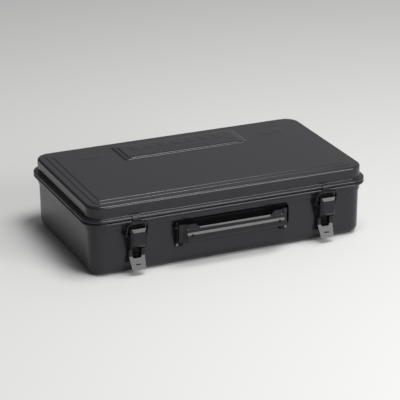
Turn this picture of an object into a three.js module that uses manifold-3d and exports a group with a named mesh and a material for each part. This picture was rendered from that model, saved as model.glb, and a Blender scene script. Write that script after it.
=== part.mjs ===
// Metal tool box: drawn body pan, hinged lid, folding carry handle, two over-centre latches, two rear hinges.
// Millimetres. Origin at the middle of the base, X along the front, Y towards the hinges, Z up.
import * as THREE from "three";
import { mergeVertices } from "three/addons/utils/BufferGeometryUtils.js";
import Module from "manifold-3d";

const wasm = await Module();
wasm.setup();

// Driving sizes
const HALF_WIDTH = 180;
const HALF_DEPTH = 101.7;
const CORNER_RADIUS = 17.6;
const SHEET = 0.9;
const PLATE = 1.2;
const GAP = 0.3;

// Heights
const BAND_Z = 57.7;
const SEAM_Z = 70;
const SEAM_GAP = 0.3;
const LID_EDGE_Z = 90;

// Offsets from the body wall, positive outwards
const BAND_OUT = 1.36;
const BEAD_OUT = 6.8;
const BEAD_HEIGHT = 3.9;
const DRAFT = 0.63;
const BASE_EDGE_RADIUS = 10;
const LID_EDGE_RADIUS = 3.2;
const MIN_RADIUS = 2;

// Pressed steps in the lid
const STEP_RISE = 0.6;
const STEP_RUN = 1.2;
const OUTER_STEP = BAND_OUT - 10;
const INNER_STEP = BAND_OUT - 18;
const PANEL_STEPS = [
  { halfWidth: 84.5, front: 32.5, back: 84.5 },
  { halfWidth: 78, front: 35.5, back: 81.5 },
];
const PANEL_RADIUS = 3;
const PANEL_RISE = 0.8;

// Placing of the fittings
const LATCH_X = 125;
const HINGE_X = 110;
const RIVET_RADIUS = 1.4;

const rad = (degrees) => (degrees * Math.PI) / 180;
const frontY = (outward) => -HALF_DEPTH - outward;
const backY = (outward) => HALF_DEPTH + outward;

// How far the outside of the walls stands out at a height.
const wallOut = (z) => (z > BAND_Z ? BAND_OUT : (-DRAFT * (BAND_Z - z)) / BAND_Z);

// ---------------------------------------------------------------- solids and meshes

function solidOf(geometry) {
  const bare = geometry.clone();
  bare.deleteAttribute("normal");
  bare.deleteAttribute("uv");
  const merged = mergeVertices(bare, 1e-4);
  const mesh = new wasm.Mesh({
    numProp: 3,
    vertProperties: new Float32Array(merged.attributes.position.array),
    triVerts: new Uint32Array(merged.index.array),
  });
  return new wasm.Manifold(mesh);
}

function meshOf(name, solid, colour) {
  const { vertProperties, triVerts } = solid.getMesh();
  const geometry = new THREE.BufferGeometry();
  geometry.setAttribute("position", new THREE.BufferAttribute(new Float32Array(vertProperties), 3));
  geometry.setIndex(new THREE.BufferAttribute(new Uint32Array(triVerts), 1));
  geometry.computeVertexNormals();
  const material = new THREE.MeshStandardMaterial({ color: colour, metalness: 0.2, roughness: 0.4 });
  const mesh = new THREE.Mesh(geometry, material);
  mesh.name = name;
  return mesh;
}

const BLACK = 0x1a1a1c;
const STEEL = 0x8a8a88;

// ---------------------------------------------------------------- flat outlines

// Replaces each corner [a, b, radius] by a short arc. The ends of an open path stay as they are.
function soften(points, open = false, steps = 3) {
  const result = [];
  points.forEach(([a, b, radius = 0], i) => {
    const isEnd = open && (i === 0 || i === points.length - 1);
    if (!radius || isEnd) {
      result.push(new THREE.Vector2(a, b));
      return;
    }
    const corner = new THREE.Vector2(a, b);
    const before = new THREE.Vector2(...points.at(i - 1).slice(0, 2)).sub(corner).normalize();
    const after = new THREE.Vector2(...points[(i + 1) % points.length].slice(0, 2)).sub(corner).normalize();
    const half = Math.acos(THREE.MathUtils.clamp(before.dot(after), -1, 1)) / 2;
    const start = corner.clone().addScaledVector(before, radius / Math.tan(half));
    const middle = before.clone().add(after).normalize().multiplyScalar(radius / Math.sin(half)).add(corner);
    const from = Math.atan2(start.y - middle.y, start.x - middle.x);
    const sweep = (Math.PI - 2 * half) * Math.sign(after.cross(before));
    for (let k = 0; k <= steps; k += 1) {
      const angle = from + (sweep * k) / steps;
      const spoke = new THREE.Vector2(Math.cos(angle), Math.sin(angle));
      result.push(spoke.multiplyScalar(radius).add(middle));
    }
  });
  return result;
}

// Outline of a bent sheet of even thickness whose middle line is the given path.
function sheetOutline(path, thickness) {
  const left = [];
  const right = [];
  path.forEach((point, i) => {
    const towards = (path[i + 1] ?? point).clone().sub(path[i + 1] ? point : path[i - 1]).normalize();
    const arrival = path[i - 1] ? point.clone().sub(path[i - 1]).normalize() : towards;
    const mitre = new THREE.Vector2(-arrival.y - towards.y, arrival.x + towards.x).normalize();
    const reach = thickness / 2 / Math.max(0.3, mitre.dot(new THREE.Vector2(-towards.y, towards.x)));
    left.push(point.clone().addScaledVector(mitre, reach));
    right.unshift(point.clone().addScaledVector(mitre, -reach));
  });
  return [...left, ...right];
}

// Extrudes an outline along one axis, from one coordinate on it to another.
const EXTRUDE_BASIS = {
  x: [new THREE.Vector3(0, 1, 0), new THREE.Vector3(0, 0, 1), new THREE.Vector3(1, 0, 0)],
  y: [new THREE.Vector3(1, 0, 0), new THREE.Vector3(0, 0, 1), new THREE.Vector3(0, -1, 0)],
  z: [new THREE.Vector3(1, 0, 0), new THREE.Vector3(0, 1, 0), new THREE.Vector3(0, 0, 1)],
};

function prism(axis, outline, low, high) {
  const depth = high - low;
  const geometry = new THREE.ExtrudeGeometry(new THREE.Shape(outline), { depth, bevelEnabled: false });
  const start = axis === "y" ? -high : low;
  geometry.translate(0, 0, start);
  geometry.applyMatrix4(new THREE.Matrix4().makeBasis(...EXTRUDE_BASIS[axis]));
  return solidOf(geometry);
}

function box([x0, x1], [y0, y1], [z0, z1]) {
  const geometry = new THREE.BoxGeometry(x1 - x0, y1 - y0, z1 - z0);
  geometry.translate((x0 + x1) / 2, (y0 + y1) / 2, (z0 + z1) / 2);
  return solidOf(geometry);
}

// Round bar along X.
function barX(y, z, radius, x0, x1, segments = 12) {
  const geometry = new THREE.CylinderGeometry(radius, radius, x1 - x0, segments);
  geometry.rotateZ(Math.PI / 2);
  geometry.translate((x0 + x1) / 2, y, z);
  return solidOf(geometry);
}

// Turned piece along Y: profile of [radius, outward distance], closed on the axis.
function turnedY(x, z, profile, toWorldY, segments = 10) {
  const points = profile.map(([radius, along]) => new THREE.Vector2(radius, along));
  const geometry = new THREE.LatheGeometry(points, segments);
  if (toWorldY(1) < toWorldY(0)) {
    geometry.rotateX(Math.PI);
  }
  geometry.translate(x, toWorldY(0), z);
  return solidOf(geometry);
}

const mirrored = (solid) => solid.mirror([1, 0, 0]);

// ---------------------------------------------------------------- drawn pans

const PAN_OUTLINE = { halfX: HALF_WIDTH, halfY: HALF_DEPTH, radius: CORNER_RADIUS, x: 0, y: 0 };

// One rounded rectangle, as seen from above, grown outwards by the given offset.
function ring(offset, z, base, steps) {
  const { halfX, halfY, radius, x, y } = { ...PAN_OUTLINE, ...base };
  const corner = Math.max(radius + offset, MIN_RADIUS);
  const points = [];
  for (let quarter = 0; quarter < 4; quarter += 1) {
    const sideX = quarter === 0 || quarter === 3 ? 1 : -1;
    const sideY = quarter < 2 ? 1 : -1;
    for (let k = 0; k <= steps; k += 1) {
      const angle = (Math.PI / 2) * (quarter + k / steps);
      points.push([
        x + sideX * (halfX + offset - corner) + corner * Math.cos(angle),
        y + sideY * (halfY + offset - corner) + corner * Math.sin(angle),
        z,
      ]);
    }
  }
  return points;
}

// Skin through a stack of rings, closed flat over the first and the last one.
function loft(profile, base = {}, steps = 5) {
  const rings = profile.map(([offset, z]) => ring(offset, z, base, steps));
  const count = rings[0].length;
  const positions = rings.flat(2);
  const index = [];
  for (let level = 0; level + 1 < rings.length; level += 1) {
    for (let k = 0; k < count; k += 1) {
      const a = level * count + k;
      const b = level * count + ((k + 1) % count);
      index.push(a, b, b + count, a, b + count, a + count);
    }
  }
  const middle = [base.x ?? 0, base.y ?? 0];
  [0, rings.length - 1].forEach((level, end) => {
    const centre = positions.length / 3;
    positions.push(...middle, profile[level][1]);
    for (let k = 0; k < count; k += 1) {
      const a = level * count + k;
      const b = level * count + ((k + 1) % count);
      index.push(centre, ...(end ? [a, b] : [b, a]));
    }
  });
  const geometry = new THREE.BufferGeometry();
  geometry.setAttribute("position", new THREE.Float32BufferAttribute(positions, 3));
  geometry.setIndex(index);
  return solidOf(geometry);
}

// Quarter arc in (offset, z), from one angle to another about a middle.
function arc(offset, z, radius, from, to, steps = 3) {
  return Array.from({ length: steps + 1 }, (_, k) => {
    const angle = rad(from + ((to - from) * k) / steps);
    return [offset + radius * Math.cos(angle), z + radius * Math.sin(angle)];
  });
}

// Rolled bead: a half round on the outside of the rim, listed from bottom to top.
function bead(bottom) {
  const radius = BEAD_HEIGHT / 2;
  return [
    [BAND_OUT, bottom],
    ...arc(BEAD_OUT - radius, bottom + radius, radius, -90, 90, 5),
  ];
}

function bodyPan() {
  const rim = SEAM_Z - SEAM_GAP / 2;
  const outer = [
    ...arc(-DRAFT - BASE_EDGE_RADIUS, BASE_EDGE_RADIUS, BASE_EDGE_RADIUS, -90, 0),
    [0, BAND_Z - 0.6],
    [BAND_OUT, BAND_Z + 0.6],
    ...bead(rim - BEAD_HEIGHT),
  ];
  const inner = [
    [BAND_OUT - SHEET, rim],
    [BAND_OUT - SHEET, BAND_Z + 0.6],
    [-SHEET, BAND_Z - 0.6],
    ...arc(-DRAFT - BASE_EDGE_RADIUS, BASE_EDGE_RADIUS, BASE_EDGE_RADIUS - SHEET, 0, -90),
  ];
  return loft([...outer, ...inner]);
}

// Outside of the lid from the middle of its top down to the bead.
function lidSkin(depth) {
  const top = LID_EDGE_Z - depth;
  const wall = BAND_OUT - depth;
  return [
    [INNER_STEP - STEP_RUN, top + 2 * STEP_RISE],
    [INNER_STEP, top + STEP_RISE],
    [OUTER_STEP - STEP_RUN, top + STEP_RISE],
    [OUTER_STEP, top],
    ...arc(BAND_OUT - LID_EDGE_RADIUS, LID_EDGE_Z - LID_EDGE_RADIUS, LID_EDGE_RADIUS - depth, 90, 0),
    [wall, SEAM_Z + SEAM_GAP / 2 + BEAD_HEIGHT],
  ];
}

// One level of the raised panel at the back of the lid.
function panelStep({ halfWidth, front, back }, level) {
  const foot = LID_EDGE_Z + 2 * STEP_RISE + level * PANEL_RISE;
  const base = { halfX: halfWidth, halfY: (back - front) / 2, radius: PANEL_RADIUS, y: (back + front) / 2 };
  return loft([
    [0, foot - SHEET / 2],
    [0, foot],
    [-STEP_RUN, foot + PANEL_RISE],
  ], base, 3);
}

function lidPan() {
  const rim = SEAM_Z + SEAM_GAP / 2;
  const pan = loft([
    ...lidSkin(SHEET),
    [BAND_OUT - SHEET, rim],
    ...bead(rim),
    ...lidSkin(0).reverse(),
  ]);
  return PANEL_STEPS.reduce((lid, step, i) => lid.add(panelStep(step, i)), pan);
}

// ---------------------------------------------------------------- rivets and holes

const HOLE = RIVET_RADIUS + GAP;

// Rivet through a fitting that stands off the wall: domed head outside, flat head inside.
function rivet(x, z, toWorldY, face, head = 2.6) {
  const inside = wallOut(z) - SHEET - GAP;
  return turnedY(x, z, [
    [0, inside - 0.8],
    [head, inside - 0.8],
    [head, inside],
    [RIVET_RADIUS, inside],
    [RIVET_RADIUS, face + 0.1],
    [head, face + 0.1],
    [head * 0.8, face + 0.9],
    [0, face + 1.25],
  ], toWorldY);
}

function rivetHole(x, z, toWorldY) {
  return turnedY(x, z, [[0, -8], [HOLE, -8], [HOLE, 8], [0, 8]], toWorldY);
}

// ---------------------------------------------------------------- carry handle

const HANDLE = { pivotOut: 4.8, pivotZ: 50, pinRadius: 1.3, ear: 73, tab: 71.2 };
const HANDLE_PLATE = { face: GAP + PLATE, top: 57, bottom: 30, earDepth: 7.6, lug: 5.2, lugZ: 27 };
const PLATE_RIVETS = [[-72, 27], [72, 27], [-26, 38], [26, 38]];

function handlePlate() {
  const { face, top, bottom, earDepth, lug, lugZ } = HANDLE_PLATE;
  const { ear, pivotOut, pivotZ, pinRadius } = HANDLE;
  const sheetY = [frontY(face), frontY(GAP)];
  const edge = ear + PLATE;
  const back = box([-edge, edge], sheetY, [bottom, top]);
  const flange = box([-edge, edge], [frontY(3), frontY(GAP)], [top - PLATE, top]);
  const earOutline = soften([
    [frontY(GAP), bottom],
    [frontY(GAP), top],
    [frontY(earDepth), top, 2.5],
    [frontY(earDepth), bottom + 6, 3],
    [frontY(3), bottom],
  ]);
  const lugOutline = soften([
    [edge, bottom + 1],
    [edge, lugZ - lug / 2, 2],
    [edge - 2 * lug, lugZ - lug / 2, 2],
    [edge - 2 * lug, bottom + 1],
  ]);
  const side = prism("x", earOutline, ear, edge)
    .add(prism("y", lugOutline, ...sheetY))
    .subtract(barX(frontY(pivotOut), pivotZ, pinRadius + GAP, ear - 1, edge + 1));
  let plate = back.add(flange).add(side).add(mirrored(side));
  for (const [x, z] of PLATE_RIVETS) {
    plate = plate.subtract(rivetHole(x, z, frontY));
  }
  return plate;
}

// Side view of the pressed grip: top edge, sloping face, steep shoulder, front face and rolled bottom edge.
const GRIP_SECTION = [
  [frontY(12.3), 50.6],
  [frontY(13.2), 48.2, 1],
  [frontY(15.4), 45.3, 1],
  [frontY(16.5), 42.4, 1.5],
  [frontY(16.6), 36.2, 2],
  [frontY(13.4), 35.4],
];
const GRIP = { half: 64, bottom: 34.6, top: 51.5, radius: 6, sheet: 1.3 };
const GRIP_HOLE = { radius: 1.6, x: 57.4, z: 42.4, from: 14.2 };
const ARM = { bottom: 31.5, top: 54, crest: 55.4, end: 46, crestX: 50.5, narrow: 61.5, underside: 45 };

function handleArm() {
  const { tab, pivotOut, pivotZ, pinRadius } = HANDLE;
  const plan = soften([
    [tab, frontY(1.9)],
    [tab, frontY(7.4), 1.5],
    [66.5, frontY(8), 2],
    [60.5, frontY(13.1), 2.5],
    [ARM.end, frontY(13.1)],
  ], true);
  const outline = soften([
    [tab + 1, ARM.bottom],
    [tab + 1, ARM.top],
    [ARM.crestX + 1.5, ARM.crest, 3],
    [ARM.end, GRIP.top - 2],
    [ARM.end, ARM.underside],
    [ARM.narrow, ARM.underside, 2],
    [ARM.narrow, ARM.bottom],
  ]);
  const swing = soften([
    [frontY(1.9), 20],
    [frontY(1.9), pivotZ + 2.9, 2.8],
    [frontY(5.4), pivotZ + 2.9, 2.5],
    [frontY(11), pivotZ + 7],
    [frontY(20), pivotZ + 7],
    [frontY(20), 20],
  ]);
  const strap = prism("z", sheetOutline(plan, GRIP.sheet), ARM.bottom - 1, ARM.crest + 1);
  return strap
    .intersect(prism("y", outline, frontY(20), frontY(0)))
    .intersect(prism("x", swing, 0, tab + 2))
    .subtract(barX(frontY(pivotOut), pivotZ, pinRadius + GAP, tab - 3, tab + 3));
}

function handle() {
  const section = sheetOutline(soften(GRIP_SECTION, true), GRIP.sheet);
  const { half, bottom, top, radius } = GRIP;
  const ends = soften([
    [-half, bottom, radius],
    [half, bottom, radius],
    [half, top, radius],
    [-half, top, radius],
  ], false, 5);
  const arm = handleArm();
  let grip = prism("x", section, -half, half)
    .intersect(prism("y", ends, frontY(25), frontY(0)))
    .add(arm)
    .add(mirrored(arm));
  const { radius: hole, from } = GRIP_HOLE;
  const bore = [[0, from], [hole, from], [hole, 25], [0, 25]];
  for (const side of [-1, 1]) {
    grip = grip.subtract(turnedY(side * GRIP_HOLE.x, GRIP_HOLE.z, bore, frontY, 12));
  }
  return grip;
}

function handlePin() {
  const { pivotOut, pivotZ, pinRadius, ear, tab } = HANDLE;
  const head = pinRadius + 1.1;
  const y = frontY(pivotOut);
  return barX(y, pivotZ, pinRadius, tab - 1.4, ear + PLATE + 0.6)
    .add(barX(y, pivotZ, head, ear + PLATE + GAP, ear + PLATE + 1.3));
}

// ---------------------------------------------------------------- latches, built about x = 0

const LATCH = {
  pivotOut: 7.6,
  pivotZ: 57.4,
  pinRadius: 1.5,
  loopOut: 4.6,
  loopZ: 50.2,
  stubRadius: 1.3,
  leverHalf: 10,
  loopHalf: 14,
  earHalf: 8.2,
};
const BASE_RIVETS = [46, 19.5];
const STAPLE = { half: 2.8, out: 6.6, z: 25 };

function latchBase() {
  const { pivotOut, pivotZ, pinRadius, earHalf } = LATCH;
  const sheet = [frontY(GAP + 1), frontY(GAP)];
  const plan = soften([
    [-earHalf, 14, 3],
    [earHalf, 14, 3],
    [earHalf, 54, 1],
    [-earHalf, 54, 1],
  ]);
  const ear = soften([
    [frontY(GAP), 36],
    [frontY(GAP), 52],
    [frontY(4.3), 59, 2],
    [frontY(6.9), 60.8, 2],
    [frontY(10.6), 59.7, 2.4],
    [frontY(10.4), 55, 2.4],
    [frontY(4.2), 43, 2],
  ]);
  const staple = soften([
    [-STAPLE.half, frontY(GAP)],
    [-STAPLE.half, frontY(STAPLE.out), 2],
    [STAPLE.half, frontY(STAPLE.out), 2],
    [STAPLE.half, frontY(GAP)],
  ]);
  const eye = soften([
    [-1.2, frontY(2.6), 1.1],
    [-1.2, frontY(5.2), 1.1],
    [1.2, frontY(5.2), 1.1],
    [1.2, frontY(2.6), 1.1],
  ]);
  let base = prism("y", plan, ...sheet)
    .add(prism("z", staple, STAPLE.z, STAPLE.z + PLATE))
    .subtract(prism("z", eye, STAPLE.z - 1, STAPLE.z + 2));
  for (const x0 of [earHalf - 1.1, -earHalf]) {
    base = base.add(prism("x", ear, x0, x0 + 1.1));
  }
  for (const z of BASE_RIVETS) {
    base = base.subtract(rivetHole(0, z, frontY));
  }
  return base.subtract(barX(frontY(pivotOut), pivotZ, pinRadius + GAP, -20, 20));
}

// Bent line of the lever seen from the side: top facet, raised block, low frame, flared thumb tab.
const LEVER_LINE = [
  [frontY(12.6), 60.2],
  [frontY(14.6), 56.4, 1],
  [frontY(14.6), 40.6, 1.5],
  [frontY(12.3), 37.6, 1.5],
  [frontY(4.6), 31.6, 1.5],
  [frontY(4.6), 23, 3],
  [frontY(12.2), 8],
];
// Filled side view, from the top facet down the front and back up along the wall.
const LEVER_SIDE = [
  [frontY(13.1), 60.6],
  [frontY(15.2), 56.6, 1],
  [frontY(15.2), 40.4, 1.5],
  [frontY(12.7), 37.1, 1.5],
  [frontY(5.1), 31.3, 1],
  [frontY(5.1), 22.4],
  [frontY(3.6), 22, 1],
  [frontY(2.2), 25, 1.5],
  [frontY(2.2), 46, 2],
  [frontY(3.6), 58.6, 3],
  [frontY(7.6), 61.4, 2.5],
];
const BLOCK = { chamferX: 6.7, chamferOut: 11.6, face: 14.6 };

// Plan of the raised block with sloping shoulders, moved out by the given amount.
function blockPlan(half, out) {
  const { chamferX, chamferOut, face } = BLOCK;
  return [
    [-half, frontY(1.5)],
    [-half, frontY(chamferOut + out)],
    [-chamferX - out / 2, frontY(face + out)],
    [chamferX + out / 2, frontY(face + out)],
    [half, frontY(chamferOut + out)],
    [half, frontY(1.5)],
  ];
}

function latchLever() {
  const { pivotOut, pivotZ, pinRadius, loopOut, loopZ, stubRadius, leverHalf } = LATCH;
  const thick = 1.1;
  const skirt = sheetOutline(soften(blockPlan(leverHalf - thick / 2, 0), true), thick);
  const front = soften([
    [-leverHalf, 62],
    [-leverHalf, 22, 6],
    [-8.6, 7, 2.6],
    [8.6, 7, 2.6],
    [leverHalf, 22, 6],
    [leverHalf, 62],
  ]);
  const window = soften([[-6.4, 36.2, 1], [6.4, 36.2, 1], [5.6, 20.6, 2.5], [-5.6, 20.6, 2.5]]);
  const slot = soften([[-3.2, 13, 0.5], [3.2, 13, 0.5], [3.2, 14.4, 0.5], [-3.2, 14.4, 0.5]]);
  const web = prism("x", sheetOutline(soften(LEVER_LINE, true), thick), -leverHalf, leverHalf)
    .intersect(prism("z", soften(blockPlan(leverHalf, thick / 2)), 0, 70));
  return prism("z", skirt, 20, 62)
    .intersect(prism("x", soften(LEVER_SIDE), -leverHalf, leverHalf))
    .add(web)
    .intersect(prism("y", front, frontY(30), frontY(0)))
    .subtract(prism("y", window, frontY(30), frontY(0)))
    .subtract(prism("y", slot, frontY(30), frontY(0)))
    .subtract(barX(frontY(pivotOut), pivotZ, pinRadius + GAP, -20, 20))
    .subtract(barX(frontY(loopOut), loopZ, stubRadius + GAP, -20, 20));
}

// Bent strip stirrup: an arch laid in a plane that leans out from the lower pivot to the bar.
const LOOP = { barOut: 10.5, barZ: 68.4, strip: 1.2, depth: 4.2, corner: 6 };

function latchLoop() {
  const { loopOut, loopZ, stubRadius, loopHalf } = LATCH;
  const reach = Math.hypot(LOOP.barOut - loopOut, LOOP.barZ - loopZ);
  const lean = Math.atan2(LOOP.barOut - loopOut, LOOP.barZ - loopZ);
  const foot = -2.4;
  const path = soften([
    [-loopHalf + LOOP.strip / 2, foot],
    [-loopHalf + LOOP.strip / 2, reach - LOOP.strip / 2, LOOP.corner],
    [loopHalf - LOOP.strip / 2, reach - LOOP.strip / 2, LOOP.corner],
    [loopHalf - LOOP.strip / 2, foot],
  ], true, 4);
  const side = soften([
    [-LOOP.depth / 2, foot, 2],
    [LOOP.depth / 2, foot, 2],
    [LOOP.depth / 2, reach + 1],
    [-LOOP.depth / 2, reach + 1],
  ]);
  return prism("y", sheetOutline(path, LOOP.strip), -LOOP.depth, LOOP.depth)
    .intersect(prism("x", side, -loopHalf - 1, loopHalf + 1))
    .subtract(barX(0, 0, stubRadius + GAP, -20, 20))
    .rotate([(lean * 180) / Math.PI, 0, 0])
    .translate([0, frontY(loopOut), loopZ]);
}

function leverPin() {
  const { pivotOut, pivotZ, pinRadius, leverHalf } = LATCH;
  const y = frontY(pivotOut);
  const end = leverHalf + GAP;
  return barX(y, pivotZ, pinRadius, -end - 0.5, end + 0.5)
    .add(barX(y, pivotZ, pinRadius + 0.7, -end - 0.9, -end))
    .add(barX(y, pivotZ, pinRadius + 0.7, end, end + 0.9));
}

function loopStub() {
  const { loopOut, loopZ, stubRadius, leverHalf, loopHalf } = LATCH;
  const y = frontY(loopOut);
  return barX(y, loopZ, stubRadius, leverHalf - 0.8, loopHalf + 0.8)
    .add(barX(y, loopZ, stubRadius + 0.9, leverHalf + GAP, loopHalf - LOOP.strip - GAP))
    .add(barX(y, loopZ, stubRadius + 0.9, loopHalf + GAP, loopHalf + 1));
}

// Hook on the lid: a strip that hugs the lid bead, passes the body bead and turns out under the loop.
const KEEPER = { half: 5.4, thick: 0.8, lipOut: 9.9, lipZ: 66 };

function keeper() {
  const clear = GAP + KEEPER.thick / 2;
  const radius = BEAD_HEIGHT / 2;
  const middleZ = SEAM_Z + SEAM_GAP / 2 + radius;
  const around = arc(BEAD_OUT - radius, middleZ, radius + clear, 90, 0, 4);
  const path = [
    ...around.map(([outward, z]) => [frontY(outward), z]),
    [frontY(BEAD_OUT + clear), KEEPER.lipZ, 0.6],
    [frontY(KEEPER.lipOut), KEEPER.lipZ - 0.2],
  ];
  return prism("x", sheetOutline(soften(path, true), KEEPER.thick), -KEEPER.half, KEEPER.half);
}

// ---------------------------------------------------------------- rear hinges, built about x = 0

const HINGE = { out: BEAD_OUT + 2.9, z: SEAM_Z, half: 17, knuckle: 2.3, pin: 1.1, notch: 2.8 };
const LEAF_RIVETS = { x: 11, body: HINGE.z - 8.8, lid: HINGE.z + 9.6 };
const LEAF_END = { body: HINGE.z - 12.2, lid: HINGE.z + 13.2 };

// One leaf: flat on the wall, carried out past the beads, ending in knuckles on the pin line.
function hingeLeaf(direction, flatEnd, spans) {
  const knuckleY = backY(HINGE.out);
  const flat = BAND_OUT + GAP + 0.5;
  const past = BEAD_OUT + GAP + 0.5;
  const clear = HINGE.z + direction * (BEAD_HEIGHT + 1.1);
  const path = soften([
    [backY(flat), flatEnd],
    [backY(flat), clear, 0.6],
    [backY(past), clear, 0.6],
    [backY(past), HINGE.z + direction * 1.5],
  ], true, 3);
  const leaf = prism("x", sheetOutline(path, 1), -HINGE.half, HINGE.half);
  const cleared = leaf.subtract(box(
    [-HINGE.half - 1, HINGE.half + 1],
    [backY(past - 1), knuckleY + 5],
    [HINGE.z - HINGE.notch, HINGE.z + HINGE.notch],
  ));
  let result = cleared;
  for (const [x0, x1] of spans) {
    const web = leaf.intersect(box([x0, x1], [backY(0), knuckleY + 5], [HINGE.z - 5, HINGE.z + 5]));
    result = result.add(web).add(barX(knuckleY, HINGE.z, HINGE.knuckle, x0, x1));
  }
  for (const side of [-1, 1]) {
    const z = direction > 0 ? LEAF_RIVETS.lid : LEAF_RIVETS.body;
    result = result.subtract(rivetHole(side * LEAF_RIVETS.x, z, backY));
  }
  return result.subtract(barX(knuckleY, HINGE.z, HINGE.pin + GAP, -40, 40));
}

function hingePin() {
  const end = HINGE.half + GAP;
  return barX(backY(HINGE.out), HINGE.z, HINGE.pin, -end - 0.6, end + 0.6)
    .add(barX(backY(HINGE.out), HINGE.z, HINGE.pin + 0.7, -end - 0.9, -end))
    .add(barX(backY(HINGE.out), HINGE.z, HINGE.pin + 0.7, end, end + 0.9));
}

// ---------------------------------------------------------------- assembly

const pieces = [];
const holes = { body: [], lid: [] };
const place = (name, solid, x = 0, colour = BLACK) => {
  pieces.push([name, solid.translate([x, 0, 0]), colour]);
};
const placeRivet = (name, owner, x, z, toWorldY, face, head) => {
  place(name, rivet(x, z, toWorldY, face, head), 0, STEEL);
  holes[owner].push(rivetHole(x, z, toWorldY));
};

place("handle_plate", handlePlate());
place("handle", handle());
place("handle_pin_right", handlePin(), 0, STEEL);
place("handle_pin_left", mirrored(handlePin()), 0, STEEL);
PLATE_RIVETS.forEach(([x, z], i) => {
  placeRivet(`handle_plate_rivet_${i + 1}`, "body", x, z, frontY, HANDLE_PLATE.face, 2.1);
});

for (const [side, x] of [["left", -LATCH_X], ["right", LATCH_X]]) {
  place(`latch_${side}_base`, latchBase(), x);
  place(`latch_${side}_lever`, latchLever(), x);
  place(`latch_${side}_loop`, latchLoop(), x);
  place(`latch_${side}_keeper`, keeper(), x);
  place(`latch_${side}_lever_pin`, leverPin(), x, STEEL);
  place(`latch_${side}_stub_outer`, x > 0 ? loopStub() : mirrored(loopStub()), x, STEEL);
  place(`latch_${side}_stub_inner`, x > 0 ? mirrored(loopStub()) : loopStub(), x, STEEL);
  BASE_RIVETS.forEach((z, i) => {
    placeRivet(`latch_${side}_base_rivet_${i + 1}`, "body", x, z, frontY, GAP + 1);
  });
}

const third = HINGE.half / 3;
for (const [side, x] of [["left", -HINGE_X], ["right", HINGE_X]]) {
  const outerSpans = [[-HINGE.half, -third - GAP / 2], [third + GAP / 2, HINGE.half]];
  place(`hinge_${side}_body_leaf`, hingeLeaf(-1, LEAF_END.body, outerSpans), x);
  place(`hinge_${side}_lid_leaf`, hingeLeaf(1, LEAF_END.lid, [[-third + GAP / 2, third - GAP / 2]]), x);
  place(`hinge_${side}_pin`, hingePin(), x, STEEL);
  for (const [owner, z] of [["body", LEAF_RIVETS.body], ["lid", LEAF_RIVETS.lid]]) {
    [-1, 1].forEach((sign, i) => {
      const name = `hinge_${side}_${owner}_rivet_${i + 1}`;
      placeRivet(name, owner, x + sign * LEAF_RIVETS.x, z, backY, BAND_OUT + GAP + 1, 2.4);
    });
  }
}

const drill = (pan, cuts) => cuts.reduce((solid, cut) => solid.subtract(cut), pan);
place("body_pan", drill(bodyPan(), holes.body));
place("lid_pan", drill(lidPan(), holes.lid));

const assembly = new THREE.Group();
assembly.name = "metal_tool_box";
for (const [name, solid, colour] of pieces) {
  assembly.add(meshOf(name, solid, colour));
}

export default assembly;
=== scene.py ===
"""Looks for the metal tool box: satin black enamel over pressed steel, in a plain pale studio."""
import math

import bmesh
import bpy
from mathutils import Matrix, Vector


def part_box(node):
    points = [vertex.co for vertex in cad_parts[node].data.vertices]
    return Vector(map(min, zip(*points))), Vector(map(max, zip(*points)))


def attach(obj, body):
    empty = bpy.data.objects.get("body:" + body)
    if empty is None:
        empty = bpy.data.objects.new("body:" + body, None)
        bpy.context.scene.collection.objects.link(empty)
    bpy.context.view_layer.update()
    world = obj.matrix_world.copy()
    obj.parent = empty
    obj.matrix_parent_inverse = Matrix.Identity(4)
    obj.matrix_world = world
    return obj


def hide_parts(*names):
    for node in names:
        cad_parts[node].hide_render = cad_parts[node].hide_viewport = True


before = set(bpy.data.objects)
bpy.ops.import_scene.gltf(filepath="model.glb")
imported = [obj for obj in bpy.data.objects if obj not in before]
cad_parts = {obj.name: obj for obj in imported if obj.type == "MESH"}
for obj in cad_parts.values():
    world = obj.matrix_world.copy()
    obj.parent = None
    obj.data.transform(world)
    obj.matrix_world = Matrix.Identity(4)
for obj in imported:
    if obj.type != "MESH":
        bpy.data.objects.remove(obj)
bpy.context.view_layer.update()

MM = 0.001
BODY_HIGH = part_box("body_pan")[1]
LID_LOW, LID_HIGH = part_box("lid_pan")

# The two pans share one outline. Offsets are measured outwards from the body wall.
BEAD_OUT = 6.8 * MM
BAND_OUT = 1.36 * MM
HALF_X = BODY_HIGH.x - BEAD_OUT
HALF_Y = BODY_HIGH.y - BEAD_OUT
CORNER = 17.6 * MM
CORNER_STEPS = 14
SHEET = 0.9 * MM

# The rim of either pan: a fillet at the root of the bead, the bead and the rounded sheet edge.
BEAD_RADIUS = 1.95 * MM
BEAD_STEPS = 16
FILLET = 0.9 * MM
FILLET_STEPS = 5
FILLET_START = 1 * MM
SHEET_ROUND = 0.8 * MM
SHEET_ROUND_STEPS = 4

# The body's wall leans out by the draft from the base up to the foot of the band.
DRAFT = 0.63 * MM
DRAFT_LEFT = 0.02 * MM
BASE_EDGE = 10 * MM
BASE_EDGE_STEPS = 12
BASE_EDGE_INNER_STEPS = 10
BAND_Z = 57.7 * MM
BAND_HALF = 0.6 * MM
BAND_MARGIN = 1.6 * MM
RIM = BODY_HIGH.z
LONG_SIDE_SPANS = 36
SHORT_SIDE_SPANS = 20

# The lid rises in two steps to its middle field, and the panel adds two more near the back.
LID_RIM = LID_LOW.z
STEP = 0.6 * MM
PANEL_RISE = 0.8 * MM
LID_EDGE = LID_HIGH.z - 2 * STEP - 2 * PANEL_RISE
LID_EDGE_RADIUS = 3.2 * MM
LID_EDGE_STEPS = 10
FIELD_Z = LID_EDGE + 2 * STEP
OUTER_STEP = BAND_OUT - 10 * MM
INNER_STEP = BAND_OUT - 18 * MM
FIELD = BAND_OUT - 22 * MM

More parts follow.
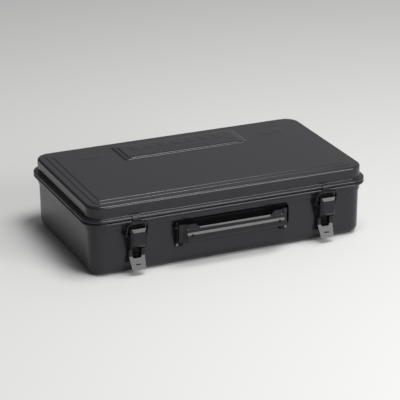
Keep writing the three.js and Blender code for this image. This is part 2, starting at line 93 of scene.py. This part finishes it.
# Each step runs over the edge run. Rings a support away from it keep the flats beside it flat.
EDGE_RUN = 0.9 * MM
SUPPORT = 0.35 * MM
EASE_STEPS = 8

SAME_POINT = 0.002 * MM
WELD_GAP = 0.005 * MM
EDGE_ROUND = 0.25 * MM
EDGE_ROUND_STEPS = 3
EDGE_ANGLE = math.radians(30)


# ------------------------------------------------------------------ mesh helpers

def mesh_piece(name, verts, faces, material, body, *replaced):
    """A smooth-shaded piece that rides on a body and stands for the named CAD nodes."""
    mesh = bpy.data.meshes.new(name)
    mesh.from_pydata(verts, [], faces)
    grown = bmesh.new()
    grown.from_mesh(mesh)
    bmesh.ops.remove_doubles(grown, verts=grown.verts, dist=SAME_POINT)
    bmesh.ops.recalc_face_normals(grown, faces=grown.faces)
    grown.to_mesh(mesh)
    grown.free()
    mesh.polygons.foreach_set("use_smooth", [True] * len(mesh.polygons))
    piece = bpy.data.objects.new(name, mesh)
    bpy.context.collection.objects.link(piece)
    mesh.materials.append(material)
    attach(piece, body)
    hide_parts(*replaced)
    return piece


def smooth_edges(piece):
    """Rounds the sharp edges of a piece and evens out its shading."""
    weld = piece.modifiers.new("weld", "WELD")
    weld.merge_threshold = WELD_GAP
    bevel = piece.modifiers.new("edge_round", "BEVEL")
    bevel.width = EDGE_ROUND
    bevel.segments = EDGE_ROUND_STEPS
    bevel.limit_method = "ANGLE"
    bevel.angle_limit = EDGE_ANGLE
    bevel.harden_normals = True
    shade = piece.modifiers.new("shade", "WEIGHTED_NORMAL")
    shade.keep_sharp = False


def arc(offset, z, radius, start, end, steps):
    """Points of a circular arc in (offset, z), angles in degrees."""
    angles = [math.radians(start + (end - start) * k / steps) for k in range(steps + 1)]
    return [(offset + radius * math.cos(a), z + radius * math.sin(a)) for a in angles]


def smoothstep(t):
    return t * t * (3 - 2 * t)


def ease(start, end):
    """A step between two points, even in the first coordinate and S-shaped in the second."""
    points = []
    for k in range(EASE_STEPS + 1):
        t = k / EASE_STEPS
        first = start[0] + (end[0] - start[0]) * t
        second = start[1] + (end[1] - start[1]) * smoothstep(t)
        points.append((first, second))
    return points


def rim(edge, up):
    """A pan's rim as (offset, z) points, from its wall over the bead to the inside of its sheet.

    Its mouth is at the edge height and faces up if up is 1, down if up is -1.
    """
    root = edge - up * 2 * BEAD_RADIUS
    bends = [
        (BAND_OUT + FILLET, root - up * FILLET, FILLET, 180, 90, FILLET_STEPS),
        (BEAD_OUT - BEAD_RADIUS, edge - up * BEAD_RADIUS, BEAD_RADIUS, -90, 90, BEAD_STEPS),
        (BAND_OUT - SHEET + SHEET_ROUND, edge - up * SHEET_ROUND, SHEET_ROUND, 90, 180, SHEET_ROUND_STEPS),
    ]
    points = [(BAND_OUT, root - up * FILLET_START)]
    for offset, z, radius, start, end, steps in bends:
        points += arc(offset, z, radius, up * start, up * end, steps)
    return points


def outline(offset, x_marks, y_marks):
    """One ring of the pan, seen from above, with points on its straight sides at the given marks."""
    half_x, half_y = HALF_X + offset, HALF_Y + offset
    corner = max(CORNER + offset, 0.0)
    run_x, run_y = half_x - corner, half_y - corner
    sides = [
        [(mark * run_x, -half_y) for mark in x_marks],
        [(half_x, mark * run_y) for mark in y_marks],
        [(-mark * run_x, half_y) for mark in x_marks],
        [(-half_x, -mark * run_y) for mark in y_marks],
    ]
    centres = [(run_x, -run_y), (run_x, run_y), (-run_x, run_y), (-run_x, -run_y)]
    ring = []
    for quarter, (side, centre) in enumerate(zip(sides, centres)):
        ring += side
        for k in range(1, CORNER_STEPS):
            angle = math.pi / 2 * (quarter - 1 + k / CORNER_STEPS)
            ring.append((centre[0] + corner * math.cos(angle), centre[1] + corner * math.sin(angle)))
    return ring


def loft(profile, x_marks, y_marks, relief=None):
    """Vertices, faces and ring size of a skin with one ring for each (offset, z) of the profile."""
    verts, faces = [], []
    for offset, z in profile:
        for x, y in outline(offset, x_marks, y_marks):
            verts.append((x, y, z + (relief(x, y) if relief else 0)))
    count = len(verts) // len(profile)
    for level in range(len(profile) - 1):
        low, high = level * count, (level + 1) * count
        for k in range(count):
            after = (k + 1) % count
            faces.append((low + k, low + after, high + after, high + k))
    return verts, faces, count


def even_marks(spans):
    return [-1 + 2 * k / spans for k in range(spans + 1)]


# ------------------------------------------------------------------ materials

BUMP_DEPTH = 0.02 * MM

# Red, green and blue factors of a material's tone.
ENAMEL_DARK = (0.94, 0.9, 1.1)
ENAMEL_LIGHT = (1.08, 1.04, 1.25)
ENAMEL_WORN = (2.4, 2.3, 2.3)
PLATING_DARK = (0.8, 0.8, 0.82)
PLATING_LIGHT = (1, 1, 1.03)

# Noise scales, in cells per metre.
CLOUD_SCALE = 14
WEAR_SCALE = 160
PEEL_SCALE = 420
GRAIN_SCALE = 900

# Wear begins and is full at these dot products of the rounded normal with the flat one.
WEAR_RADIUS = 0.6 * MM
WEAR_STARTS = 0.97
WEAR_FULL = 0.8
WEAR_AMOUNT = 0.9

ENAMEL_UNEVEN = 0.03
PLATING_SMOOTHER = 0.06
PLATING_ROUGHER = 0.08
SCRATCH_STRENGTH = 0.15


def new_material(name):
    material = bpy.data.materials.new(name)
    material.use_nodes = True
    nodes, links = material.node_tree.nodes, material.node_tree.links
    shader = nodes["Principled BSDF"]
    return material, nodes, links, shader


def tinted(tone, tint):
    """An opaque colour: the tone times each of the three factors of the tint."""
    return tuple(tone * factor for factor in tint) + (1,)


def noise(nodes, links, scale, detail=3):
    where = nodes.new("ShaderNodeTexCoord")
    texture = nodes.new("ShaderNodeTexNoise")
    texture.inputs["Scale"].default_value = scale
    texture.inputs["Detail"].default_value = detail
    links.new(where.outputs["Object"], texture.inputs["Vector"])
    return texture.outputs["Fac"]


def mapped(nodes, links, value, low, high):
    remap = nodes.new("ShaderNodeMapRange")
    remap.inputs["To Min"].default_value = low
    remap.inputs["To Max"].default_value = high
    links.new(value, remap.inputs["Value"])
    return remap.outputs["Result"]


def colour_mix(nodes, links, factor, first, second):
    mix = nodes.new("ShaderNodeMix")
    mix.data_type = "RGBA"
    mix.inputs["A"].default_value = first
    mix.inputs["B"].default_value = second
    links.new(factor, mix.inputs["Factor"])
    return mix


def add_bump(nodes, links, shader, height, strength):
    bump = nodes.new("ShaderNodeBump")
    bump.inputs["Strength"].default_value = strength
    bump.inputs["Distance"].default_value = BUMP_DEPTH
    links.new(height, bump.inputs["Height"])
    links.new(bump.outputs["Normal"], shader.inputs["Normal"])


def sharp_edges(nodes, links):
    """Rises from 0 on the flats to 1 along sharp edges."""
    bevel = nodes.new("ShaderNodeBevel")
    bevel.inputs["Radius"].default_value = WEAR_RADIUS
    flat = nodes.new("ShaderNodeNewGeometry")
    match = nodes.new("ShaderNodeVectorMath")
    match.operation = "DOT_PRODUCT"
    links.new(bevel.outputs["Normal"], match.inputs[0])
    links.new(flat.outputs["Normal"], match.inputs[1])
    edge = nodes.new("ShaderNodeMapRange")
    edge.inputs["From Min"].default_value = WEAR_STARTS
    edge.inputs["From Max"].default_value = WEAR_FULL
    links.new(match.outputs["Value"], edge.inputs["Value"])
    return edge.outputs["Result"]


def edge_wear(nodes, links, shader, paint, worn):
    """Lightens the paint a little along sharp edges, in broken patches."""
    patches = mapped(nodes, links, noise(nodes, links, WEAR_SCALE), 0, WEAR_AMOUNT)
    amount = nodes.new("ShaderNodeMath")
    amount.operation = "MULTIPLY"
    links.new(sharp_edges(nodes, links), amount.inputs[0])
    links.new(patches, amount.inputs[1])
    mix = colour_mix(nodes, links, amount.outputs["Value"], worn, worn)
    links.new(paint.outputs["Result"], mix.inputs["A"])
    links.new(mix.outputs["Result"], shader.inputs["Base Color"])


def enamel(name, tone, gloss, roughness, peel):
    """Satin black enamel with faint orange peel, slightly uneven gloss and worn edges."""
    material, nodes, links, shader = new_material(name)
    shader.inputs["Specular IOR Level"].default_value = gloss
    cloud = noise(nodes, links, CLOUD_SCALE, detail=2)
    paint = colour_mix(nodes, links, cloud, tinted(tone, ENAMEL_DARK), tinted(tone, ENAMEL_LIGHT))
    edge_wear(nodes, links, shader, paint, tinted(tone, ENAMEL_WORN))
    uneven = mapped(nodes, links, cloud, roughness - ENAMEL_UNEVEN, roughness + ENAMEL_UNEVEN)
    links.new(uneven, shader.inputs["Roughness"])
    add_bump(nodes, links, shader, noise(nodes, links, PEEL_SCALE, detail=2), peel)
    return material


def plated(name, tone, roughness):
    """Plated steel gone dull, with fine scratches in its gloss."""
    material, nodes, links, shader = new_material(name)
    shader.inputs["Metallic"].default_value = 1
    grain = noise(nodes, links, GRAIN_SCALE, detail=4)
    metal = colour_mix(nodes, links, grain, tinted(tone, PLATING_DARK), tinted(tone, PLATING_LIGHT))
    links.new(metal.outputs["Result"], shader.inputs["Base Color"])
    uneven = mapped(nodes, links, grain, roughness - PLATING_SMOOTHER, roughness + PLATING_ROUGHER)
    links.new(uneven, shader.inputs["Roughness"])
    add_bump(nodes, links, shader, grain, SCRATCH_STRENGTH)
    return material


PAN_PAINT = enamel("pan_enamel", tone=0.018, gloss=0.34, roughness=0.17, peel=0.04)
FITTING_PAINT = enamel("fitting_enamel", tone=0.012, gloss=0.3, roughness=0.2, peel=0.14)
# Painted shade: the base plates get a near-black, duller enamel, so they read as the shadowed recesses
# behind the grip and the levers.
SHADED_BASE_PAINT = enamel("base_plate_painted_shade_enamel", tone=0.004, gloss=0.12, roughness=0.3, peel=0.14)
PLATING = plated("plated_steel", tone=0.18, roughness=0.38)


# ------------------------------------------------------------------ body pan

def band_foot(inset):
    """The S-shaped step in the wall at the foot of the band, moved in by the inset."""
    step = ease((BAND_Z - BAND_HALF, 0), (BAND_Z + BAND_HALF, BAND_OUT))
    return [(offset - inset, z) for z, offset in step]


def body_shell():
    profile = [
        *arc(-DRAFT - BASE_EDGE, BASE_EDGE, BASE_EDGE, -90, 0, BASE_EDGE_STEPS),
        (-DRAFT_LEFT, BAND_Z - BAND_MARGIN),
        *band_foot(0),
        (BAND_OUT, BAND_Z + BAND_MARGIN),
        *rim(RIM, 1),
        (BAND_OUT - SHEET, BAND_Z + BAND_MARGIN),
        *reversed(band_foot(SHEET)),
        (-SHEET, BAND_Z - BAND_MARGIN),
        *arc(-DRAFT - BASE_EDGE, BASE_EDGE, BASE_EDGE - SHEET, 0, -90, BASE_EDGE_INNER_STEPS),
    ]
    verts, faces, count = loft(profile, even_marks(LONG_SIDE_SPANS), even_marks(SHORT_SIDE_SPANS))
    faces.append(tuple(range(count)))
    faces.append(tuple(range(len(verts) - count, len(verts))))
    return mesh_piece("body_shell", verts, faces, PAN_PAINT, "box", "body_pan")


# ------------------------------------------------------------------ lid

# The two levels of the raised rear panel: half width, front edge and back edge.
PANEL_LEVELS = ((84.5 * MM, 32.5 * MM, 84.5 * MM), (78 * MM, 35.5 * MM, 81.5 * MM))
PANEL_CORNER = 3 * MM

RIBS = 7
RIB_PITCH = 19 * MM
RIB_SIZE = (11 * MM, 12 * MM)
RIB_CORNER = 1.5 * MM
RIB_Y = 66 * MM
SMALL_RIBS = 9
SMALL_RIB_PITCH = 8 * MM
SMALL_RIB_SIZE = (4.6 * MM, 4 * MM)
SMALL_RIB_CORNER = 1 * MM
SMALL_RIB_Y = 50 * MM
PAD_CENTRE = (127 * MM, 58 * MM)
PAD_SIZE = (33 * MM, 18 * MM)
PLATE_CENTRE = (-118 * MM, 62 * MM)
PLATE_SIZE = (28 * MM, 12 * MM)
PLATE_CORNER = 2 * MM
MARK_RISE = 0.25 * MM
MARK_RUN = 0.9 * MM

# Spacing of the grid over the middle field, which is finer at each edge and across the pad.
GRID_SPACING = 4 * MM
PAD_SPACING = 0.9 * MM
EDGE_SPACING = 0.3 * MM
EDGE_LINES = 3
LEAST_SPACING = 0.12 * MM
LINE_DIGITS = 6


def block_distance(x, y, centre, size, radius):
    """Signed distance to a rectangle with rounded corners, negative inside."""
    dx = abs(x - centre[0]) - size[0] / 2 + radius
    dy = abs(y - centre[1]) - size[1] / 2 + radius
    outside = math.hypot(max(dx, 0), max(dy, 0))
    return outside + min(max(dx, dy), 0) - radius


def rise(distance, height, run):
    """From 0 outside an edge to the height inside it, over a run that lies across the edge."""
    return height * smoothstep(min(max(0.5 - distance / run, 0), 1))


def row_centres(count, pitch, y):
    return [((k - (count - 1) / 2) * pitch, y) for k in range(count)]


# Centre, size and corner radius of each plain raised mark.
MARKS = (
    [(centre, RIB_SIZE, RIB_CORNER) for centre in row_centres(RIBS, RIB_PITCH, RIB_Y)]
    + [
        (centre, SMALL_RIB_SIZE, SMALL_RIB_CORNER)
        for centre in row_centres(SMALL_RIBS, SMALL_RIB_PITCH, SMALL_RIB_Y)
    ]
    + [(PAD_CENTRE, PAD_SIZE, PAD_SIZE[1] / 2), (PLATE_CENTRE, PLATE_SIZE, PLATE_CORNER)]
)


def lid_relief(x, y):
    """Height of the rear panel and of the plain raised marks above the lid's own steps."""
    height = 0
    for half, front, back in PANEL_LEVELS:
        level = block_distance(x, y, (0, (front + back) / 2), (2 * half, back - front), PANEL_CORNER)
        height += rise(level + EDGE_RUN / 2, PANEL_RISE, EDGE_RUN)
    for centre, size, radius in MARKS:
        if abs(x - centre[0]) < size[0] and abs(y - centre[1]) < size[1]:
            height += rise(block_distance(x, y, centre, size, radius), MARK_RISE, MARK_RUN)
    return height


def skirt_relief(x, y):
    """The lid's relief, which ends before the outer step so that the wall stays plain."""
    return lid_relief(x, y) if abs(y) < HALF_Y + OUTER_STEP - EDGE_RUN else 0


def even_lines(low, high, count):
    return {round(low + (high - low) * k / count, LINE_DIGITS) for k in range(count + 1)}


def grid_lines(half, edges, centre, size):
    """Lines from -half to half, with close ones at each edge and across a mark of this size."""
    lines = even_lines(-half, half, round(2 * half / GRID_SPACING))
    for edge in edges:
        near = EDGE_LINES * EDGE_SPACING
        lines |= even_lines(edge - near, edge + near, 2 * EDGE_LINES)
    lines |= even_lines(centre - size / 2, centre + size / 2, math.ceil(size / PAD_SPACING))
    ordered = sorted(line for line in lines if -half <= line <= half)
    kept = [ordered[0]]
    for line in ordered[1:]:
        if line - kept[-1] > LEAST_SPACING:
            kept.append(line)
    kept[0], kept[-1] = -half, half
    return kept


def mark_edges(axis):
    return [centre[axis] + side * size[axis] / 2 for centre, size, _ in MARKS for side in (-1, 1)]


def field_lines():
    """The grid lines of the middle field, in X and in Y."""
    edges_x = [side * half for side in (-1, 1) for half, _, _ in PANEL_LEVELS]
    edges_y = [edge for _, front, back in PANEL_LEVELS for edge in (front, back)]
    return (
        grid_lines(HALF_X + FIELD, edges_x + mark_edges(0), PAD_CENTRE[0], PAD_SIZE[0]),
        grid_lines(HALF_Y + FIELD, edges_y + mark_edges(1), PAD_CENTRE[1], PAD_SIZE[1]),
    )


def lid_skin(thickness):
    """Top profile from the edge of the middle field out to the wall, moved in by the thickness."""
    top = LID_EDGE - thickness
    return [
        (FIELD, top + 2 * STEP),
        (INNER_STEP - EDGE_RUN - SUPPORT, top + 2 * STEP),
        *ease((INNER_STEP - EDGE_RUN, top + 2 * STEP), (INNER_STEP, top + STEP)),
        (INNER_STEP + SUPPORT, top + STEP),
        (OUTER_STEP - EDGE_RUN - SUPPORT, top + STEP),
        *ease((OUTER_STEP - EDGE_RUN, top + STEP), (OUTER_STEP, top)),
        (OUTER_STEP + SUPPORT, top),
        (BAND_OUT - LID_EDGE_RADIUS - SUPPORT, top),
        *arc(
            BAND_OUT - LID_EDGE_RADIUS, LID_EDGE - LID_EDGE_RADIUS,
            LID_EDGE_RADIUS - thickness, 90, 0, LID_EDGE_STEPS,
        ),
    ]


def add_field(verts, faces, x_lines, y_lines, z):
    """Adds the middle field: a grid of quads at height z, raised by the relief."""
    first, across = len(verts), len(x_lines)
    verts += [(x, y, z + lid_relief(x, y)) for y in y_lines for x in x_lines]
    for row in range(len(y_lines) - 1):
        for column in range(across - 1):
            a = first + row * across + column
            faces.append((a, a + 1, a + across + 1, a + across))


def lid_shell():
    x_lines, y_lines = field_lines()
    profile = [
        *lid_skin(0),
        (BAND_OUT, LID_EDGE - LID_EDGE_RADIUS - SUPPORT),
        (BAND_OUT, LID_RIM + 2 * BEAD_RADIUS + FILLET_START + SUPPORT),
        *rim(LID_RIM, -1),
        *reversed(lid_skin(SHEET)),
    ]
    marks_x = [x / (HALF_X + FIELD) for x in x_lines]
    marks_y = [y / (HALF_Y + FIELD) for y in y_lines]
    verts, faces, _ = loft(profile, marks_x, marks_y, skirt_relief)
    for z in (FIELD_Z, FIELD_Z - SHEET):
        add_field(verts, faces, x_lines, y_lines, z)
    return mesh_piece("lid_shell", verts, faces, PAN_PAINT, "lid", "lid_pan")


body_shell()
lid_shell()

# ------------------------------------------------------------------ fittings from the CAD

BARE = ("hinge_left_pin", "hinge_right_pin", "handle_plate_rivet_1", "handle_plate_rivet_2")


def fitting_paint(node):
    if node in BARE:
        return PLATING
    # The handle plate, the latch bases and their rivets take the darker enamel, which is painted shade.
    is_shaded_base = node == "handle_plate" or node.endswith("_base") or "base_rivet" in node
    return SHADED_BASE_PAINT if is_shaded_base else FITTING_PAINT


for node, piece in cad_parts.items():
    if node in ("body_pan", "lid_pan"):
        continue
    piece.data.materials.clear()
    piece.data.materials.append(fitting_paint(node))
    smooth_edges(piece)

# ------------------------------------------------------------------ studio

FLOOR_HALF = 6.0
FLOOR_TONE = 0.72
FLOOR_TINT = (1, 1, 0.99)
FLOOR_GLOSS = 0.1
FLOOR_ROUGHNESS = (0.75, 0.85)
FLOOR_SCALE = 3

# The world gets stronger from left to right, between these two X parts of a direction.
WORLD_FROM, WORLD_TO = -0.3, 0.9
WORLD_WEAK, WORLD_STRONG = 0.1, 0.5


def floor_material():
    material, nodes, links, shader = new_material("studio_floor")
    shader.inputs["Base Color"].default_value = tinted(FLOOR_TONE, FLOOR_TINT)
    shader.inputs["Specular IOR Level"].default_value = FLOOR_GLOSS
    uneven = mapped(nodes, links, noise(nodes, links, FLOOR_SCALE), *FLOOR_ROUGHNESS)
    links.new(uneven, shader.inputs["Roughness"])
    return material


def floor():
    mesh = bpy.data.meshes.new("studio_floor")
    signs = [(-1, -1), (1, -1), (1, 1), (-1, 1)]
    corners = [(x * FLOOR_HALF, y * FLOOR_HALF, 0) for x, y in signs]
    mesh.from_pydata(corners, [], [(0, 1, 2, 3)])
    mesh.materials.append(floor_material())
    plane = bpy.data.objects.new("studio_floor", mesh)
    bpy.context.collection.objects.link(plane)


def softbox(name, place, aim, size, power):
    lamp = bpy.data.lights.new(name, "AREA")
    lamp.shape = "RECTANGLE"
    lamp.size, lamp.size_y = size
    lamp.energy = power
    holder = bpy.data.objects.new(name, lamp)
    holder.location = place
    holder.rotation_euler = (Vector(aim) - Vector(place)).to_track_quat("-Z", "Y").to_euler()
    bpy.context.collection.objects.link(holder)


def studio_world():
    """Soft surroundings, lighter to the right than to the left."""
    world = bpy.data.worlds.new("studio")
    world.use_nodes = True
    bpy.context.scene.world = world
    nodes, links = world.node_tree.nodes, world.node_tree.links
    where = nodes.new("ShaderNodeTexCoord")
    split = nodes.new("ShaderNodeSeparateXYZ")
    links.new(where.outputs["Generated"], split.inputs["Vector"])
    across = nodes.new("ShaderNodeMapRange")
    across.interpolation_type = "SMOOTHSTEP"
    across.inputs["From Min"].default_value = WORLD_FROM
    across.inputs["From Max"].default_value = WORLD_TO
    across.inputs["To Min"].default_value = WORLD_WEAK
    across.inputs["To Max"].default_value = WORLD_STRONG
    links.new(split.outputs["X"], across.inputs["Value"])
    links.new(across.outputs["Result"], nodes["Background"].inputs["Strength"])
    nodes["Background"].inputs["Color"].default_value = (1, 1, 1, 1)


floor()
studio_world()
softbox("overhead", place=(0.3, -0.5, 2.0), aim=(0, 0, 0), size=(1.2, 0.9), power=32)
softbox("front_right", place=(0.95, -1.75, 0.85), aim=(0, 0, 0.05), size=(1.1, 0.9), power=27)

# ------------------------------------------------------------------ camera

LENS = 177.07
SENSOR = 36.0
VIEW_DISTANCE = 2.488
AZIMUTH = math.radians(-23.17)
ELEVATION = math.radians(21.204)
ROLL = math.radians(-0.357)
RAISE = 34.14 * MM
SIDEWAYS = 2.36 * MM


def photo_camera():
    flat = math.cos(ELEVATION)
    back = Vector((math.sin(AZIMUTH) * flat, -math.cos(AZIMUTH) * flat, math.sin(ELEVATION)))
    right = (-back).cross(Vector((0, 0, 1))).normalized()
    up = right.cross(-back)
    right, up = (
        math.cos(ROLL) * right + math.sin(ROLL) * up,
        -math.sin(ROLL) * right + math.cos(ROLL) * up,
    )
    lens = bpy.data.cameras.new("photo_camera")
    lens.lens = LENS
    lens.sensor_width = SENSOR
    camera = bpy.data.objects.new("photo_camera", lens)
    turned = Matrix((right, up, back)).transposed().to_4x4()
    turned.translation = back * VIEW_DISTANCE + right * SIDEWAYS + up * RAISE
    camera.matrix_world = turned
    bpy.context.collection.objects.link(camera)
    bpy.context.scene.camera = camera


photo_camera()
bpy.context.scene.view_settings.view_transform = "Standard"
